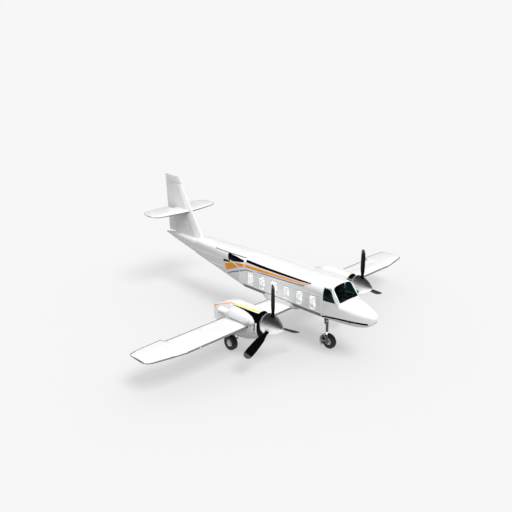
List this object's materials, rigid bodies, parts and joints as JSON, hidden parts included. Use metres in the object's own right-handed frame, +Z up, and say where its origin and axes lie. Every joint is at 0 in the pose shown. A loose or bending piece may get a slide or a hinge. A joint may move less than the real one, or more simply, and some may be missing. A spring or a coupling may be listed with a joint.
{
  "type": "turboprop airliner",
  "caption": "Low-wing turboprop commuter airliner with wing-mounted propellers, tall cabin windows, a mid-fin tailplane, a port airstair and tricycle wheels.",
  "frame": {"origin": "on the ground at the centreline, midway between the nose tip and the tail tip", "axes": "+X to the port wing tip, -Y to the nose, +Z up"},
  "size_m": [16.38, 13.72, 5.97],
  "materials": {
    "white_paint": "gloss",
    "black_paint": "gloss",
    "blade_black": "satin",
    "polished_metal": "polished",
    "exhaust_metal": "satin",
    "engine_metal": "satin",
    "gear_metal": "satin",
    "tyre": "matte",
    "glass": "clear",
    "seat_fabric": "matte",
    "panel_plastic": "matte",
    "floor_panel": "satin"
  },
  "bodies": {
    "airframe": {"belly_fairing": "white_paint", "cabin_floor": "floor_panel", "cabin_shell": "white_paint", "cockpit_glass_port": "glass", "cockpit_glass_starboard": "glass", "cockpit_shell": "white_paint", "cowl_ring_port": "black_paint", "cowl_ring_starboard": "black_paint", "engine_port": "engine_metal", "engine_starboard": "engine_metal", "exhaust_port": "exhaust_metal", "exhaust_starboard": "exhaust_metal", "fin": "white_paint", "instrument_panel": "panel_plastic", "main_leg_port": "gear_metal", "main_leg_starboard": "gear_metal", "nacelle_port": "white_paint", "nacelle_starboard": "white_paint", "nose_cone": "white_paint", "nose_gear_leg": "gear_metal", "pilot_seat_port": "seat_fabric", "pilot_seat_starboard": "seat_fabric", "seats_port": "seat_fabric", "seats_starboard": "seat_fabric", "tail_cone": "white_paint", "tail_shell": "white_paint", "tailplane": "white_paint", "windshield_port": "glass", "windshield_starboard": "glass", "wing_port": "white_paint", "wing_starboard": "white_paint"},
    "airstair_door": {"airstair_door": "white_paint"},
    "propeller_port": {"propeller_port": "blade_black", "spinner_port": "polished_metal"},
    "propeller_starboard": {"propeller_starboard": "blade_black", "spinner_starboard": "polished_metal"},
    "flap_inboard_port": {"flap_inboard_port": "white_paint"},
    "flap_inboard_starboard": {"flap_inboard_starboard": "white_paint"},
    "flap_outboard_port": {"flap_outboard_port": "white_paint"},
    "flap_outboard_starboard": {"flap_outboard_starboard": "white_paint"},
    "aileron_port": {"aileron_port": "white_paint"},
    "aileron_starboard": {"aileron_starboard": "white_paint"},
    "rudder": {"rudder": "white_paint"},
    "elevator_port": {"elevator_port": "white_paint"},
    "elevator_starboard": {"elevator_starboard": "white_paint"},
    "main_wheel_port": {"main_port_tyre": "tyre", "main_port_hub": "gear_metal"},
    "main_wheel_starboard": {"main_starboard_tyre": "tyre", "main_starboard_hub": "gear_metal"},
    "nose_steering": {"nose_fork": "gear_metal"},
    "nose_wheel": {"nose_tyre": "tyre", "nose_hub": "gear_metal"}
  },
  "joints": [
    {"name": "propeller_spin_port", "type": "hinge", "parent": "airframe", "child": "propeller_port", "pos_m": [2.94, -3.914, 1.917], "axis": [0, 1, 0], "continuous": true},
    {"name": "main_wheel_spin_port", "type": "hinge", "parent": "airframe", "child": "main_wheel_port", "pos_m": [3.1, -1.55, 0.33836], "axis": [1, 0, 0], "continuous": true},
    {"name": "flap_inboard_hinge_port", "type": "hinge", "parent": "airframe", "child": "flap_inboard_port", "pos_m": [1.695, -1.875, 1.634], "axis": [-1, 0, 0], "range_deg": [0, 35]},
    {"name": "flap_outboard_hinge_port", "type": "hinge", "parent": "airframe", "child": "flap_outboard_port", "pos_m": [4.245, -1.875, 1.634], "axis": [-1, 0, 0], "range_deg": [0, 35]},
    {"name": "aileron_hinge_port", "type": "hinge", "parent": "airframe", "child": "aileron_port", "pos_m": [5.74, -1.875, 1.634], "axis": [1, 0, 0], "range_deg": [-22, 22]},
    {"name": "elevator_hinge_port", "type": "hinge", "parent": "airframe", "child": "elevator_port", "pos_m": [1, 5.89, 4.275], "axis": [1, 0, 0], "range_deg": [-15, 25]},
    {"name": "propeller_spin_starboard", "type": "hinge", "parent": "airframe", "child": "propeller_starboard", "pos_m": [-2.94, -3.914, 1.917], "axis": [0, 1, 0], "continuous": true},
    {"name": "main_wheel_spin_starboard", "type": "hinge", "parent": "airframe", "child": "main_wheel_starboard", "pos_m": [-3.1, -1.55, 0.33836], "axis": [1, 0, 0], "continuous": true},
    {"name": "flap_inboard_hinge_starboard", "type": "hinge", "parent": "airframe", "child": "flap_inboard_starboard", "pos_m": [-1.695, -1.875, 1.634], "axis": [-1, 0, 0], "range_deg": [0, 35]},
    {"name": "flap_outboard_hinge_starboard", "type": "hinge", "parent": "airframe", "child": "flap_outboard_starboard", "pos_m": [-4.245, -1.875, 1.634], "axis": [-1, 0, 0], "range_deg": [0, 35]},
    {"name": "aileron_hinge_starboard", "type": "hinge", "parent": "airframe", "child": "aileron_starboard", "pos_m": [-5.74, -1.875, 1.634], "axis": [1, 0, 0], "range_deg": [-22, 22]},
    {"name": "elevator_hinge_starboard", "type": "hinge", "parent": "airframe", "child": "elevator_starboard", "pos_m": [-1, 5.89, 4.275], "axis": [1, 0, 0], "range_deg": [-15, 25]},
    {"name": "rudder_hinge", "type": "hinge", "parent": "airframe", "child": "rudder", "pos_m": [0, 6.05768, 4.2], "axis": [0, 0.0811, 0.9967], "range_deg": [-25, 25]},
    {"name": "nose_steer", "type": "hinge", "parent": "airframe", "child": "nose_steering", "pos_m": [-0.15, -4.46, 1.15], "axis": [0, 0, 1], "range_deg": [-45, 45]},
    {"name": "nose_wheel_spin", "type": "hinge", "parent": "nose_steering", "child": "nose_wheel", "pos_m": [0.03, -4.46, 0.33836], "axis": [1, 0, 0], "continuous": true},
    {"name": "airstair_hinge", "type": "hinge", "parent": "airframe", "child": "airstair_door", "pos_m": [0.76235, 0.76, 2.112], "axis": [-0.0965, 0.9953, 0], "range_deg": [0, 110]}
  ],
  "couplings": [
    {"joint": "aileron_hinge_starboard", "follows": "aileron_hinge_port", "ratio": -1},
    {"joint": "elevator_hinge_starboard", "follows": "elevator_hinge_port", "ratio": 1},
    {"joint": "flap_outboard_hinge_port", "follows": "flap_inboard_hinge_port", "ratio": 1},
    {"joint": "flap_inboard_hinge_starboard", "follows": "flap_inboard_hinge_port", "ratio": 1},
    {"joint": "flap_outboard_hinge_starboard", "follows": "flap_inboard_hinge_port", "ratio": 1}
  ]
}
